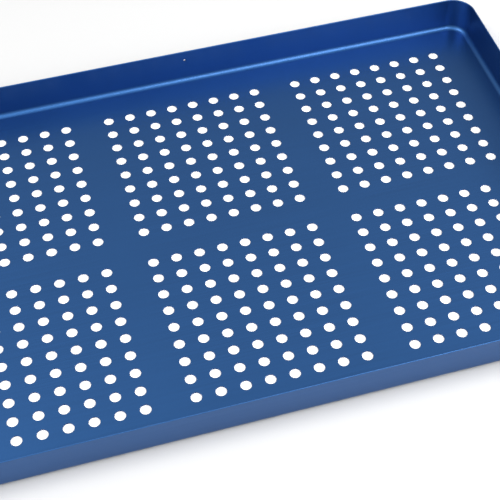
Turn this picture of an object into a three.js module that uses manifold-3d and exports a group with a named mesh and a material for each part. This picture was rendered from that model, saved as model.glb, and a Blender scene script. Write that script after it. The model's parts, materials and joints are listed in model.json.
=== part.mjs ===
// A perforated baking tray: one aluminium sheet, punched, drawn into a shallow pan and finished in blue.
// Millimetres, +Z up. The origin is the centre of the underside, X runs along the length and Y across
// the width, and the hanging hole is in the +Y wall.

import * as THREE from 'three';
import { mergeVertices } from 'three/addons/utils/BufferGeometryUtils.js';
import Module from 'manifold-3d';

// The pan. Length, width and corner radius are outside sizes at the rim.
const LENGTH = 600;
const WIDTH = 400;
const HEIGHT = 35;
const SHEET = 1.2;
const CORNER_RADIUS = 21;
const FLOOR_FILLET = 5; // inside, between the floor and the walls
const DRAFT = THREE.MathUtils.degToRad(2.5); // how far the walls lean out from upright

// The perforations: blocks of holes on one grid, with a row or a column left unpunched between blocks.
const HOLE_DIAMETER = 9.2;
const PITCH_X = 20.3;
const PITCH_Y = 18;
const BLOCKS_X = 3;
const BLOCKS_Y = 2;
const BLOCK_COLUMNS = 8;
const BLOCK_ROWS = 9;

// The hanging hole.
const HANG_HOLE_DIAMETER = 1.8;
const HANG_HOLE_X = 12.5;
const HANG_HOLE_Z = 25;

// How finely the round shapes are faceted.
const CORNER_STEPS = 5;
const FILLET_STEPS = 3;
const HOLE_SIDES = 6;
const HANG_HOLE_SIDES = 8;

// How far a cutter stands out of the sheet on each side.
const OVERCUT = 2;

const manifold = await Module();
manifold.setup();

// A closed geometry as a solid that can be cut.
function toSolid(geometry) {
	const bare = geometry.clone();
	bare.deleteAttribute('normal');
	bare.deleteAttribute('uv');
	const merged = mergeVertices(bare);
	return new manifold.Manifold(new manifold.Mesh({
		numProp: 3,
		vertProperties: merged.attributes.position.array,
		triVerts: Uint32Array.from(merged.index.array),
	}));
}

function toGeometry(solid) {
	const mesh = solid.getMesh();
	const geometry = new THREE.BufferGeometry();
	geometry.setAttribute('position', new THREE.BufferAttribute(mesh.vertProperties, 3));
	geometry.setIndex(new THREE.BufferAttribute(mesh.triVerts, 1));
	return geometry;
}

// The circumradius of a regular polygon that covers the same area as a round hole.
function radiusOfSameArea(diameter, sides) {
	return (diameter / 2) * Math.sqrt((2 * Math.PI) / (sides * Math.sin((2 * Math.PI) / sides)));
}

// How far the wall's outer face stands in from the rim's outer edge at a height.
function wallInset(height) {
	return (HEIGHT - height) * Math.tan(DRAFT);
}

// The pan's section as [inset, height] pairs: from the underside round the outer fillet, up to the rim,
// over the rim and down the inside to the floor. Both fillets turn about one centre.
function section() {
	const centreHeight = SHEET + FLOOR_FILLET;
	const centreInset = wallInset(centreHeight) + centreHeight / Math.cos(DRAFT);
	const fillet = (radius) => Array.from({ length: FILLET_STEPS + 1 }, (_, step) => {
		const angle = (Math.PI / 2 - DRAFT) * (step / FILLET_STEPS);
		return [centreInset - radius * Math.sin(angle), centreHeight - radius * Math.cos(angle)];
	});
	return [
		...fillet(FLOOR_FILLET + SHEET),
		[0, HEIGHT],
		[SHEET / Math.cos(DRAFT), HEIGHT],
		...fillet(FLOOR_FILLET).reverse(),
	];
}

// The rounded rectangle that stands a given inset in from the rim's outer edge, anticlockwise from above.
// Every inset has the same corner centres and the same number of points.
function outline(inset, height) {
	const x = LENGTH / 2 - CORNER_RADIUS;
	const y = WIDTH / 2 - CORNER_RADIUS;
	const radius = CORNER_RADIUS - inset;
	return [[x, y], [-x, y], [-x, -y], [x, -y]].flatMap(([cornerX, cornerY], corner) => {
		const start = (corner * Math.PI) / 2;
		const arc = new THREE.EllipseCurve(cornerX, cornerY, radius, radius, start, start + Math.PI / 2);
		return arc.getPoints(CORNER_STEPS).map((point) => new THREE.Vector3(point.x, point.y, height));
	});
}

// One closed skin through a stack of outlines, with the first and the last closed by a flat face.
function loft(rings) {
	const count = rings[0].length;
	const last = (rings.length - 1) * count;
	const triangles = [];
	for (let low = 0; low < last; low += count) {
		for (let i = 0; i < count; i++) {
			const next = (i + 1) % count;
			triangles.push(low + i, low + next, low + count + next);
			triangles.push(low + i, low + count + next, low + count + i);
		}
	}
	for (let i = 1; i + 1 < count; i++) {
		triangles.push(0, i + 1, i);
		triangles.push(last, last + i, last + i + 1);
	}
	return new THREE.BufferGeometry().setFromPoints(rings.flat()).setIndex(triangles);
}

// The grid's centre is the pan's centre.
function perforations() {
	const columns = BLOCKS_X * (BLOCK_COLUMNS + 1) - 1;
	const rows = BLOCKS_Y * (BLOCK_ROWS + 1) - 1;
	const radius = radiusOfSameArea(HOLE_DIAMETER, HOLE_SIDES);
	const holes = [];
	for (let column = 0; column < columns; column++) {
		for (let row = 0; row < rows; row++) {
			const isUnpunchedStrip = (column + 1) % (BLOCK_COLUMNS + 1) === 0 || (row + 1) % (BLOCK_ROWS + 1) === 0;
			if (isUnpunchedStrip) continue;
			const x = (column - (columns - 1) / 2) * PITCH_X;
			const y = (row - (rows - 1) / 2) * PITCH_Y;
			const corners = Array.from({ length: HOLE_SIDES }, (_, side) => {
				const angle = (2 * Math.PI * side) / HOLE_SIDES;
				return new THREE.Vector2(x + radius * Math.cos(angle), y + radius * Math.sin(angle));
			});
			holes.push(new THREE.Shape(corners));
		}
	}
	const depth = SHEET + 2 * OVERCUT;
	return new THREE.ExtrudeGeometry(holes, { depth, bevelEnabled: false }).translate(0, 0, -OVERCUT);
}

function hangingHole() {
	const radius = radiusOfSameArea(HANG_HOLE_DIAMETER, HANG_HOLE_SIDES);
	const wallY = WIDTH / 2 - wallInset(HANG_HOLE_Z) - SHEET / 2;
	return new THREE.CylinderGeometry(radius, radius, SHEET + 2 * OVERCUT, HANG_HOLE_SIDES)
		.translate(HANG_HOLE_X, wallY, HANG_HOLE_Z);
}

function trayPan() {
	const blank = toSolid(loft(section().map(([inset, height]) => outline(inset, height))));
	const punched = blank.subtract(toSolid(perforations())).subtract(toSolid(hangingHole()));
	const blueAluminium = new THREE.MeshStandardMaterial({
		name: 'blue_aluminium',
		color: 0x2a5490,
		roughness: 0.42,
		metalness: 0.85,
		flatShading: true,
	});
	const mesh = new THREE.Mesh(toGeometry(punched), blueAluminium);
	mesh.name = 'tray_pan';
	return mesh;
}

const tray = new THREE.Group();
tray.name = 'baguette_tray';
tray.add(trayPan());

export default tray;
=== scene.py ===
"""A perforated baking tray on a white table: one aluminium sheet, punched, drawn and dyed satin blue.

Lengths are in metres, in the part's own frame: X along the tray, Y across it, Z up from its underside.
"""

import json
import math

import bpy
from mathutils import Matrix, Vector


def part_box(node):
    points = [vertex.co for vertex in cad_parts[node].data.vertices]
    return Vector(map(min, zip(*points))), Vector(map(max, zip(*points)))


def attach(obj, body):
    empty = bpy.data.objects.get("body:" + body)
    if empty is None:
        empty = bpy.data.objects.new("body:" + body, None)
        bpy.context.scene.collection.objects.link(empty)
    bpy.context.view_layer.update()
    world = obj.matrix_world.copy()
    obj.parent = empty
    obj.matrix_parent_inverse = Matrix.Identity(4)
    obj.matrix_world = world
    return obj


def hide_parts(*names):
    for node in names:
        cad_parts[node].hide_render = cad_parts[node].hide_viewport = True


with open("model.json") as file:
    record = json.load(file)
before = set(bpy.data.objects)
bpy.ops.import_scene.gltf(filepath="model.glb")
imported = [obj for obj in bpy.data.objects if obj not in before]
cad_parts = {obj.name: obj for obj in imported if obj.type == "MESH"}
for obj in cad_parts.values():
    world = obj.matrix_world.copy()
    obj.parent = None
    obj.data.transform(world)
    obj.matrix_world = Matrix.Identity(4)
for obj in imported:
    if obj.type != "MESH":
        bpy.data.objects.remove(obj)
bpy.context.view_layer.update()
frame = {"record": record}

MM = 0.001

# What the frame gives: the pan's length, width and height, and the thickness of its sheet.
LOW_CORNER, HIGH_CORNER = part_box("tray_pan")
TRAY_LENGTH, TRAY_WIDTH, TRAY_HEIGHT = HIGH_CORNER - LOW_CORNER
MOUNT_HEIGHTS = {mount["name"]: mount["pos_m"][2] for mount in frame["record"]["mounts"]}
SHEET = MOUNT_HEIGHTS["floor_top"] - MOUNT_HEIGHTS["underside"]

# The pan's section.
CORNER_RADIUS = 21 * MM  # outside, at the rim
FLOOR_FILLET = 5 * MM  # inside
DRAFT = math.radians(2.5)
RIM_EDGE = 0.55 * MM  # how far the rim's edges are rounded
PUNCHED_EDGE = 0.3 * MM  # how far the edges of the holes are broken

# The punching grid. Between two blocks of holes a column or a row is left unpunched, and counts as one.
HOLE_RADIUS = 4.6 * MM
PITCH_X = 20.3 * MM
PITCH_Y = 18 * MM
COLUMNS = 26
ROWS = 19
BLOCK_COLUMNS = 8
BLOCK_ROWS = 9

# The hanging hole in the +Y wall.
HANG_HOLE_RADIUS = 0.9 * MM
HANG_HOLE_X = 12.5 * MM
HANG_HOLE_Z = 25 * MM
HANG_PATCH = 5 * MM  # half the height of the stretch of wall that is meshed around it

# How finely the round shapes are meshed.
CELL_STEPS = 6  # along each side of a punching cell, so a hole has four times as many sides
CORNER_STEPS = 16
FILLET_STEPS = 10
RIM_STEPS = 4
EDGE_STEPS = 2

# The finish. Its colours are linear.
BLUE = (0.0222, 0.0935, 0.265)
PALE_BLUE = (0.0231, 0.0974, 0.276)
# Painted shade: the walls of the punched holes are coloured darker than the dye, standing in for the
# shade inside the holes.
HOLE_WALL_SHADE_BLUE = (0.012, 0.05, 0.16)
CUT_EDGE = "cut_edge"  # the mesh's attribute that is 1 where the sheet was punched
DYE_PATCH = 80 * MM
ROUGHNESS = (0.42, 0.48)  # it differs along the grain of the rolling
SEAL_WEIGHT = 0.3
SEAL_ROUGHNESS = 0.3
ROLLING_GRAIN = 1.1 * MM
ROLLING_STRETCH = 100
ROLLING_DEPTH = 0.012 * MM
ETCH_GRAIN = 0.25 * MM
ETCH_DEPTH = 0.01 * MM
WAVE_LENGTH = 90 * MM
WAVE_DEPTH = 0.6 * MM
NOISE_MIDDLE = (0.3, 0.7)  # nearly all of a noise's values are between these

# The set. The tray stands on a sheet of white paper, just smaller than its underside and paler than the
# table.
# The paper is painted light: it lifts the shade in the tray's holes, so that they show white. The table
# is paler far from the tray, so that it meets the room without a dark horizon. Both lie a hair below the
# tray's underside, at their depths, which keeps the faces apart.
MATT = 0.9  # the roughness of both
# Painted light: the paper is paler than the table, so the holes over it show white instead of shaded.
HOLE_LIGHTING_PAPER_COLOUR = (0.8, 0.8, 0.8)
PAPER_MARGIN = 10 * MM
PAPER_DEPTH = 0.05 * MM
TABLE_COLOUR = (0.48, 0.48, 0.48)
TABLE_FAR_COLOUR = (0.93, 0.93, 0.93)
TABLE_REACH = 12
TABLE_PALE_FROM = 1.2
TABLE_PALE_TO = 3.5
TABLE_DEPTH = 0.1 * MM

# Where each softbox stands, in degrees clockwise from +Y and degrees up, and its watts.
SOFTBOXES = {
    "right": (90, 25, 47.7),
    "front_right_low": (150, 30, 7.6),
    "front_right_high": (150, 50, 21.2),
    "front_left": (240, 35, 6.7),
    "left_high": (270, 60, 25.5),
}
SOFTBOX_SIZE = 1.0
SOFTBOX_DISTANCE = 2.0
ROOM_LIGHT = 0.65

CAMERA_AIM = Vector((11.8, -27.2, 0)) * MM
CAMERA_DISTANCE = 1131.5 * MM
CAMERA_AZIMUTH = math.radians(15.75)
CAMERA_ELEVATION = math.radians(49.35)
CAMERA_ROLL = math.radians(-0.555)
CAMERA_LENS = 94.85


class Skin:
    """The points, exact normals and faces of a mesh in the making."""

    def __init__(self):
        self.points, self.normals, self.faces, self.cut_faces = [], [], [], set()

    def point(self, place, normal):
        self.points.append(tuple(place))
        self.normals.append(tuple(normal))
        return len(self.points) - 1

    def band(self, low, high, is_cut=False, gap=None):
        """Quads between two closed loops of points, one for each step but the one at the gap."""
        for i in range(len(low)):
            if i == gap:
                continue
            if is_cut:
                self.cut_faces.add(len(self.faces))
            j = (i + 1) % len(low)
            self.faces.append((low[i], low[j], high[j], high[i]))

    def to_object(self, name):
        mesh = bpy.data.meshes.new(name)
        mesh.from_pydata(self.points, [], self.faces)
        mesh.shade_smooth()
        mesh.normals_split_custom_set_from_vertices(self.normals)
        is_cut = [float(face in self.cut_faces) for face in range(len(self.faces))]
        mesh.attributes.new(CUT_EDGE, "FLOAT", "FACE").data.foreach_set("value", is_cut)
        piece = bpy.data.objects.new(name, mesh)
        bpy.context.scene.collection.objects.link(piece)
        return piece


def turns(start, end, steps):
    """The angles of an arc's points, in radians, with its start and end given in degrees."""
    return [math.radians(start + (end - start) * step / steps) for step in range(steps + 1)]


def wall_row(height, side):
    """A point of the wall's outer face, or of its inner face straight across the sheet.

    Like the rest of the section it is (inset from the rim's outer edge, height, normal's angle). The
    angle is 0 for a face that looks at the tray's middle and 90 degrees for one that looks up."""
    inset = (TRAY_HEIGHT - height) * math.tan(DRAFT)
    if side == "outer":
        return inset, height, math.pi + DRAFT
    return inset + SHEET * math.cos(DRAFT), height + SHEET * math.sin(DRAFT), DRAFT


def section():
    """The pan's section, from the underside round the outside, over the rim and down to the floor's top.

    Both fillets turn about one centre, and each edge of the rim is rounded by RIM_EDGE."""
    draft = math.degrees(DRAFT)
    centre_height = SHEET + FLOOR_FILLET
    centre_inset = (TRAY_HEIGHT - centre_height) * math.tan(DRAFT) + centre_height / math.cos(DRAFT)
    rim_height = TRAY_HEIGHT - RIM_EDGE
    outer_inset = RIM_EDGE * math.tan(DRAFT) + RIM_EDGE / math.cos(DRAFT)
    inner_inset = (SHEET - RIM_EDGE) / math.cos(DRAFT) + RIM_EDGE * math.tan(DRAFT)
    patch_ends = (HANG_HOLE_Z - HANG_PATCH, HANG_HOLE_Z + HANG_PATCH)

    def arc(inset, height, radius, angles):
        return [(inset + radius * math.cos(a), height + radius * math.sin(a), a) for a in angles]

    outer_fillet = arc(
        centre_inset, centre_height, centre_height, turns(270, 180 + draft, FILLET_STEPS)
    )
    outer_rim = arc(outer_inset, rim_height, RIM_EDGE, turns(180 + draft, 90, RIM_STEPS))
    inner_rim = arc(inner_inset, rim_height, RIM_EDGE, turns(90, draft, RIM_STEPS))
    inner_fillet = arc(centre_inset, centre_height, -FLOOR_FILLET, turns(draft, 90, FILLET_STEPS))
    outer_wall = [wall_row(height, "outer") for height in patch_ends]
    inner_wall = [wall_row(height, "inner") for height in reversed(patch_ends)]
    return outer_fillet + outer_wall + outer_rim + inner_rim + inner_wall + inner_fillet


def outline(skin, inset, height, angle):
    """Adds the rounded rectangle that stands an inset in from the rim, anticlockwise from above.

    Returns the arcs at the four corners and the runs between them, as lists of points. A run has a point
    at each edge of a punching cell. The first arc is at +X +Y and the first run is the +Y side."""
    reach_x, reach_y = TRAY_LENGTH / 2 - CORNER_RADIUS, TRAY_WIDTH / 2 - CORNER_RADIUS
    radius = CORNER_RADIUS - inset
    arcs, runs = [], []
    for corner, (sign_x, sign_y) in enumerate(((1, 1), (-1, 1), (-1, -1), (1, -1))):
        along_x = corner % 2 == 0
        count, pitch = (COLUMNS, PITCH_X) if along_x else (ROWS, PITCH_Y)
        arc = []
        for turn in turns(90 * corner, 90 * corner + 90, CORNER_STEPS):
            out = Vector((math.cos(turn), math.sin(turn), 0))
            place = Vector((sign_x * reach_x, sign_y * reach_y, height)) + radius * out
            arc.append(skin.point(place, -math.cos(angle) * out + Vector((0, 0, math.sin(angle)))))
        run = []
        for step in range(count + 1):
            along = (count / 2 - step) * pitch
            if along_x:
                place = (sign_y * along, sign_y * (reach_y + radius), height)
            else:
                place = (sign_x * (reach_x + radius), -sign_x * along, height)
            run.append(skin.point(place, skin.normals[arc[-1]]))
        arcs.append(arc)
        runs.append(run)
    return arcs, runs


def loop_of(arcs, runs):
    return [index for arc, run in zip(arcs, runs) for index in arc + run]


def punch(skin, centre, across, up, radius):
    """A round hole through the sheet, with both its edges broken. Across and up lie in the sheet.

    Returns the loop of points on the face that across x up looks out of, and the loop on the other face.
    Both start on the diagonal between across and up."""
    front = across.cross(up)
    flat = SHEET / 2 - PUNCHED_EDGE
    rings = []
    for tilt in turns(90, 0, EDGE_STEPS) + turns(0, -90, EDGE_STEPS):
        rise = (flat if len(rings) <= EDGE_STEPS else -flat) + PUNCHED_EDGE * math.sin(tilt)
        reach = radius + PUNCHED_EDGE * (1 - math.cos(tilt))
        ring = []
        for turn in turns(45, 405, 4 * CELL_STEPS)[:-1]:
            out = math.cos(turn) * across + math.sin(turn) * up
            normal = math.sin(tilt) * front - math.cos(tilt) * out
            ring.append(skin.point(centre + reach * out + rise * front, normal))
        rings.append(ring)
    for upper, lower in zip(rings, rings[1:]):
        skin.band(upper, lower, is_cut=True)
    return rings[0], rings[-1]


def is_unpunched(column, row):
    return (column + 1) % (BLOCK_COLUMNS + 1) == 0 or (row + 1) % (BLOCK_ROWS + 1) == 0


def fine_grid(skin, height, up):
    """A function that gives a level face's point at a place on the fine grid.

    The grid has CELL_STEPS steps to a punching cell. A point is added when it is first asked for."""
    known = {}

    def at(i, j):
        if (i, j) not in known:
            x = (i / CELL_STEPS - COLUMNS / 2) * PITCH_X
            y = (j / CELL_STEPS - ROWS / 2) * PITCH_Y
            known[i, j] = skin.point((x, y, height), (0, 0, up))
        return known[i, j]

    return at


def floor_grid(skin):
    """The punching grid: its cells on the floor's top and underside, with the holes between them.

    Returns the fine grids' functions for the top and the underside."""
    top, underside = fine_grid(skin, SHEET, 1), fine_grid(skin, 0, -1)
    steps = range(CELL_STEPS)
    for column in range(COLUMNS):
        for row in range(ROWS):
            left, low = column * CELL_STEPS, row * CELL_STEPS
            right, high = left + CELL_STEPS, low + CELL_STEPS
            edge = (
                [(right - step, high) for step in steps]
                + [(left, high - step) for step in steps]
                + [(left + step, low) for step in steps]
                + [(right, low + step) for step in steps]
            )
            above, below = [top(*place) for place in edge], [underside(*place) for place in edge]
            if is_unpunched(column, row):
                skin.faces += [tuple(above), tuple(reversed(below))]
                continue
            x, y = (column + 0.5 - COLUMNS / 2) * PITCH_X, (row + 0.5 - ROWS / 2) * PITCH_Y
            centre = Vector((x, y, SHEET / 2))
            front, back = punch(skin, centre, Vector((1, 0, 0)), Vector((0, 1, 0)), HOLE_RADIUS)
            skin.band(above, front)
            skin.band(back, below)
    return top, underside


def border(skin, at, arcs, runs, flip):
    """The flat unpunched border between the punching grid and the floor's edge."""
    far_x, far_y = COLUMNS * CELL_STEPS, ROWS * CELL_STEPS
    sides = [
        [(far_x - i, far_y) for i in range(far_x + 1)],
        [(0, far_y - j) for j in range(far_y + 1)],
        [(i, 0) for i in range(far_x + 1)],
        [(far_x, j) for j in range(far_y + 1)],
    ]
    loops = []
    for side, run in zip(sides, runs):
        for cell in range(len(run) - 1):
            inner = [at(*side[cell * CELL_STEPS + step]) for step in range(CELL_STEPS + 1)]
            loops.append([run[cell], run[cell + 1]] + inner[::-1])
    for corner in range(4):
        loops.append([runs[corner - 1][-1]] + arcs[corner] + [runs[corner][0], at(*sides[corner][0])])
    skin.faces += [tuple(reversed(loop)) if flip else tuple(loop) for loop in loops]


def walls(skin):
    """The fillets, walls and rim. The hanging hole takes a cell of one band on each face of the +Y wall.

    Returns the outlines of the underside and of the floor's top."""
    rings = [outline(skin, *row) for row in section()]
    outer_patch = FILLET_STEPS + 1  # the numbers of the two bands
    inner_patch = len(rings) - FILLET_STEPS - 3
    hang_cell = math.floor(COLUMNS / 2 - HANG_HOLE_X / PITCH_X)  # counted along the run, from its +X end
    for number, (low, high) in enumerate(zip(rings, rings[1:])):
        gap = CORNER_STEPS + 1 + hang_cell if number in (outer_patch, inner_patch) else None
        skin.band(loop_of(*low), loop_of(*high), gap=gap)
    across, up = Vector((1, 0, 0)), Vector((0, math.sin(DRAFT), math.cos(DRAFT)))
    inset, height, _ = wall_row(HANG_HOLE_Z, "outer")
    outside = Vector((HANG_HOLE_X, TRAY_WIDTH / 2 - inset, height))
    centre = outside + across.cross(up) * SHEET / 2
    front, back = punch(skin, centre, across, up, HANG_HOLE_RADIUS)
    for patch, ring, flip in ((inner_patch, front, False), (outer_patch, back, True)):
        lower, upper = sorted(
            (rings[patch][1][0], rings[patch + 1][1][0]), key=lambda run: skin.points[run[0]][2]
        )
        corners = [upper[hang_cell], upper[hang_cell + 1], lower[hang_cell + 1], lower[hang_cell]]
        for side in range(4):
            stretch = [ring[(side * CELL_STEPS + step) % len(ring)] for step in range(CELL_STEPS + 1)]
            face = [corners[side], corners[(side + 1) % 4]] + stretch[::-1]
            skin.faces.append(tuple(reversed(face)) if flip else tuple(face))
    return rings[0], rings[-1]


def tray_piece():
    skin = Skin()
    under_edge, top_edge = walls(skin)
    top, underside = floor_grid(skin)
    border(skin, top, *top_edge, flip=False)
    border(skin, underside, *under_edge, flip=True)
    return skin.to_object("tray_pan_sheet")


class Finish:
    """A material in the making."""

    def __init__(self, name):
        self.material = bpy.data.materials.new(name)
        self.material.use_nodes = True
        self.tree = self.material.node_tree
        self.shader = self.tree.nodes["Principled BSDF"]

    def wire(self, node, inputs):
        """Gives each of the node's inputs its value, or a link from another node's output."""
        for name, value in inputs.items():
            if isinstance(value, bpy.types.NodeSocket):
                self.tree.links.new(value, node.inputs[name])
            else:
                node.inputs[name].default_value = value

    def add(self, kind, inputs, **settings):
        node = self.tree.nodes.new("ShaderNode" + kind)
        for name, value in settings.items():
            setattr(node, name, value)
        self.wire(node, inputs)
        return node

    def noise(self, grain, stretch=(1, 1, 1), detail=2):
        """Noise with spots about grain across, drawn out along each axis by stretch."""
        scale = [1 / (grain * factor) for factor in stretch]
        place = self.add("TexCoord", {}).outputs["Object"]
        scaled = self.add("Mapping", {"Vector": place, "Scale": scale}).outputs["Vector"]
        return self.add("TexNoise", {"Vector": scaled, "Scale": 1, "Detail": detail}).outputs["Fac"]

    def spread(self, noise, low, high):
        """Stretches the middle of a noise over the range from low to high."""
        start, end = NOISE_MIDDLE
        span = {"Value": noise, "From Min": start, "From Max": end, "To Min": low, "To Max": high}
        return self.add("MapRange", span).outputs["Result"]

    def blend(self, factor, low, high):
        """Blends two colours. The node's colour sockets share their names, so they go by number."""
        first, second, result = 6, 7, 2
        inputs = {"Factor": factor, first: low, second: high}
        return self.add("Mix", inputs, data_type="RGBA").outputs[result]

    def bump(self, height, depth, normal=None):
        inputs = {"Height": height, "Distance": depth, "Strength": 1}
        if normal:
            inputs["Normal"] = normal
        return self.add("Bump", inputs).outputs["Normal"]


def satin_blue():
    """Aluminium sheet, rolled along X, etched, dyed and sealed. The seal is the shader's coat. The walls
    of the punched holes are coloured darker, as painted shade.
    """
    finish = Finish("satin_blue_anodising")
    dye = finish.spread(finish.noise(DYE_PATCH, detail=3), 0, 1)
    rolling = finish.noise(ROLLING_GRAIN, stretch=(ROLLING_STRETCH, 1, 1))
    etch = finish.noise(ETCH_GRAIN)
    hole_wall_shade_mask = finish.add("Attribute", {}, attribute_name=CUT_EDGE).outputs["Fac"]
    dyed = finish.blend(dye, (*BLUE, 1), (*PALE_BLUE, 1))
    relief = finish.bump(finish.noise(WAVE_LENGTH, detail=0), WAVE_DEPTH)
    relief = finish.bump(rolling, ROLLING_DEPTH, relief)
    relief = finish.bump(etch, ETCH_DEPTH, relief)
    finish.wire(
        finish.shader,
        {
            # Painted shade: the walls of the punched holes take a darker blue than the dye.
            "Base Color": finish.blend(hole_wall_shade_mask, dyed, (*HOLE_WALL_SHADE_BLUE, 1)),
            "Metallic": 1,
            "Roughness": finish.spread(rolling, *ROUGHNESS),
            "Coat Weight": SEAL_WEIGHT,
            "Coat Roughness": SEAL_ROUGHNESS,
            "Normal": relief,
        },
    )
    return finish.material


# Painted light: a pale sheet under the tray, so that its holes show white instead of shaded.
def paper_painted_light():
    finish = Finish("paper_painted_light")
    finish.wire(finish.shader, {"Base Color": (*HOLE_LIGHTING_PAPER_COLOUR, 1), "Roughness": MATT})
    return finish.material


def table_white():
    finish = Finish("table_white")
    place = finish.add("TexCoord", {}).outputs["Object"]
    distance = finish.add("VectorMath", {0: place}, operation="LENGTH").outputs["Value"]
    span = {"Value": distance, "From Min": TABLE_PALE_FROM, "From Max": TABLE_PALE_TO}
    far = finish.add("MapRange", span).outputs["Result"]
    colour = finish.blend(far, (*TABLE_COLOUR, 1), (*TABLE_FAR_COLOUR, 1))
    finish.wire(finish.shader, {"Base Color": colour, "Roughness": MATT})
    return finish.material


def stage_sheet(name, reach_x, reach_y, depth, material):
    """A flat rectangle under the tray, as part of the set."""
    corners = [(-reach_x, -reach_y), (reach_x, -reach_y), (reach_x, reach_y), (-reach_x, reach_y)]
    mesh = bpy.data.meshes.new(name)
    mesh.from_pydata([(x, y, -depth) for x, y in corners], [], [range(4)])
    mesh.materials.append(material)
    sheet = bpy.data.objects.new(name, mesh)
    bpy.context.scene.collection.objects.link(sheet)


def softbox(name, compass, rise, watts):
    around, up = math.radians(compass), math.radians(rise)
    way = Vector((math.sin(around) * math.cos(up), math.cos(around) * math.cos(up), math.sin(up)))
    data = bpy.data.lights.new(name, "AREA")
    data.shape = "DISK"
    data.size = SOFTBOX_SIZE
    data.energy = watts
    lamp = bpy.data.objects.new(name, data)
    lamp.location = SOFTBOX_DISTANCE * way
    lamp.rotation_euler = way.to_track_quat("Z", "Y").to_euler()
    lamp.visible_camera = False
    bpy.context.scene.collection.objects.link(lamp)


def room():
    world = bpy.data.worlds.new("room")
    world.use_nodes = True
    background = world.node_tree.nodes["Background"]
    background.inputs["Color"].default_value = (1, 1, 1, 1)
    background.inputs["Strength"].default_value = ROOM_LIGHT
    bpy.context.scene.world = world


def camera():
    data = bpy.data.cameras.new("camera")
    data.lens = CAMERA_LENS
    turn = (
        Matrix.Rotation(-CAMERA_AZIMUTH, 4, "Z")
        @ Matrix.Rotation(math.pi / 2 - CAMERA_ELEVATION, 4, "X")
        @ Matrix.Rotation(CAMERA_ROLL, 4, "Z")
    )
    back = turn.to_3x3() @ Vector((0, 0, 1))
    view = bpy.data.objects.new("camera", data)
    view.matrix_world = Matrix.Translation(CAMERA_AIM + CAMERA_DISTANCE * back) @ turn
    bpy.context.scene.collection.objects.link(view)
    bpy.context.scene.camera = view


tray = tray_piece()
tray.data.materials.append(satin_blue())
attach(tray, "root")
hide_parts("tray_pan")

stage_sheet("studio_table", TABLE_REACH, TABLE_REACH, TABLE_DEPTH, table_white())
# The paper under the tray is painted light, which keeps its holes white where the tray's shade would
# fall.
paper_reach = (TRAY_LENGTH / 2 - PAPER_MARGIN, TRAY_WIDTH / 2 - PAPER_MARGIN)
stage_sheet("painted_light_paper", *paper_reach, PAPER_DEPTH, paper_painted_light())
for name, (compass, rise, watts) in SOFTBOXES.items():
    softbox(name, compass, rise, watts)
room()
camera()
bpy.context.scene.view_settings.view_transform = "Standard"
